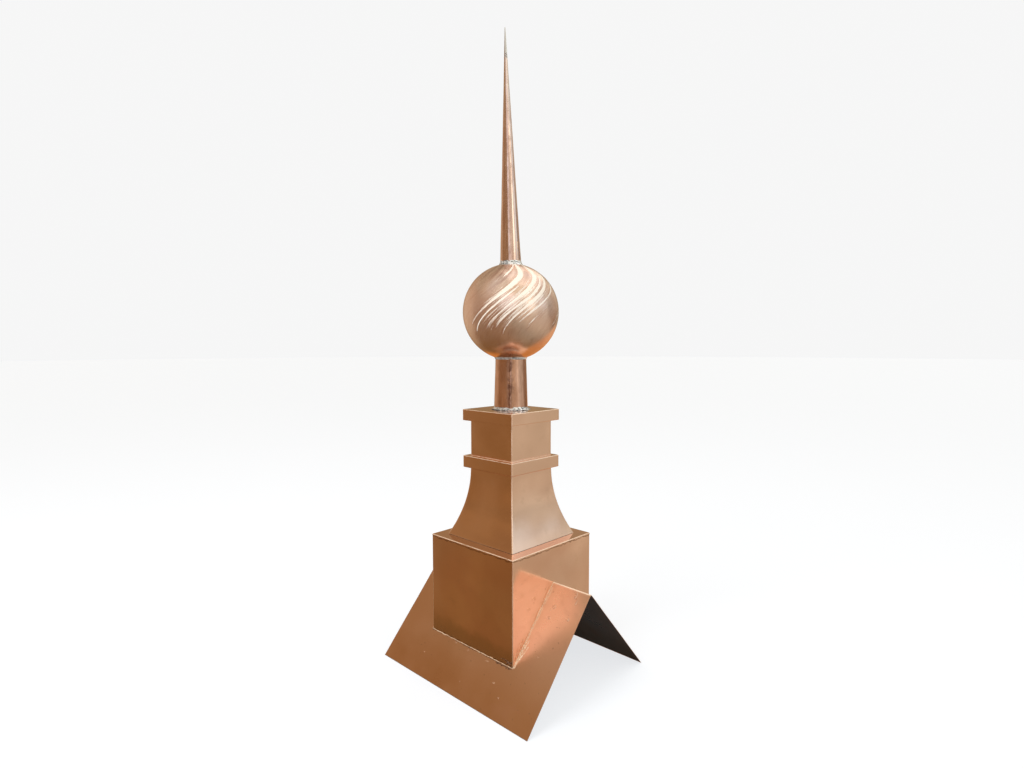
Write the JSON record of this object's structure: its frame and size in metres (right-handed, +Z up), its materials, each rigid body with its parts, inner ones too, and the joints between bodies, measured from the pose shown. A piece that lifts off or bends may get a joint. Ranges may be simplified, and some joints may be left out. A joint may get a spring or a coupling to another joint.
{
  "type": "roof finial",
  "caption": "Sheet copper roof finial with a saddle for a roof ridge, a square base box, a flared skirt, a collared square shaft, a round neck, a ball and a tall pointed spire.",
  "frame": {"origin": "on the ground under the middle of the saddle, midway between its two eave edges", "axes": "+X along the roof's ridge, +Z up along the shaft towards the spire's tip, the slopes fall away to -Y and +Y"},
  "size_m": [0.543, 0.4626, 1.694],
  "materials": {
    "saddle_copper": "satin copper sheet with faint smears and drips",
    "sheet_copper": "bright copper sheet, almost mirror smooth, with crisp folded edges",
    "rolled_copper": "rolled copper with a soldered seam and heat stains",
    "spun_copper": "spun copper polished in sweeping strokes",
    "solder": "uneven tin and lead solder, bright in places"
  },
  "bodies": {
    "root": {"saddle_flashing": "saddle_copper", "base_box": "sheet_copper", "flared_skirt": "sheet_copper", "lower_collar": "sheet_copper", "shaft": "sheet_copper", "cap": "sheet_copper", "neck": "rolled_copper", "ball": "spun_copper", "spire": "rolled_copper", "solder_neck_base": "solder", "solder_ball_seat": "solder", "solder_spire_base": "solder"}
  },
  "joints": []
}
